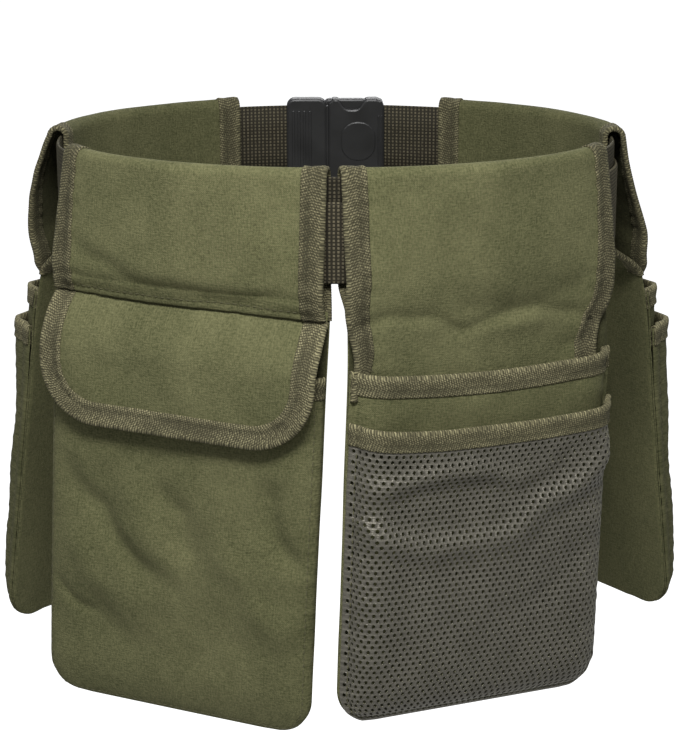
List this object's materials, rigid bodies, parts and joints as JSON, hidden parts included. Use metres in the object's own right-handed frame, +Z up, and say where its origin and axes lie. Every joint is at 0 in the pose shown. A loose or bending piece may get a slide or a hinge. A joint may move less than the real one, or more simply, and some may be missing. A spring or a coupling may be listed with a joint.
{
  "type": "garden tool belt",
  "caption": "Webbing waist belt with canvas pouches hung round it: one with a flap, one with a mesh pocket, and double pouches at the sides.",
  "frame": {"origin": "centre of the waist opening, at the mid height of the belt's webbing", "axes": "+X to the viewer's right across the front, +Y from the front to the back of the waist, +Z up"},
  "size_m": [0.4146, 0.3109, 0.3275],
  "materials": {
    "canvas": "olive green cotton canvas, plain weave, matt",
    "tape": "brown-olive ribbed binding tape",
    "webbing": "dark olive ribbed webbing",
    "mesh": "grey-brown knitted netting with a slight sheen",
    "clasp": "black moulded plastic, matt"
  },
  "bodies": {
    "root": {"belt_webbing": "webbing", "belt_tail": "webbing", "back_buckle": "clasp", "flap_pouch_back": "canvas", "flap_pouch_sleeve_binding_front": "tape", "flap_pouch_sleeve_binding_rear": "tape", "flap_pouch_pocket": "canvas", "flap_pouch_pocket_binding": "tape", "flap_pouch_flap": "canvas", "flap_pouch_flap_binding": "tape", "mesh_pouch_back": "canvas", "mesh_pouch_sleeve_binding_front": "tape", "mesh_pouch_sleeve_binding_rear": "tape", "mesh_pouch_canvas_pocket": "canvas", "mesh_pouch_canvas_pocket_binding": "tape", "mesh_pouch_mesh_pocket": "mesh", "mesh_pouch_mesh_pocket_binding": "tape", "side_pouch_left_back": "canvas", "side_pouch_left_sleeve_binding_front": "tape", "side_pouch_left_sleeve_binding_rear": "tape", "side_pouch_left_inner_pocket": "canvas", "side_pouch_left_inner_pocket_binding": "tape", "side_pouch_left_outer_pocket": "canvas", "side_pouch_left_outer_pocket_binding": "tape", "side_pouch_right_back": "canvas", "side_pouch_right_sleeve_binding_front": "tape", "side_pouch_right_sleeve_binding_rear": "tape", "side_pouch_right_inner_pocket": "canvas", "side_pouch_right_inner_pocket_binding": "tape", "side_pouch_right_outer_pocket": "canvas", "side_pouch_right_outer_pocket_binding": "tape"}
  },
  "joints": []
}
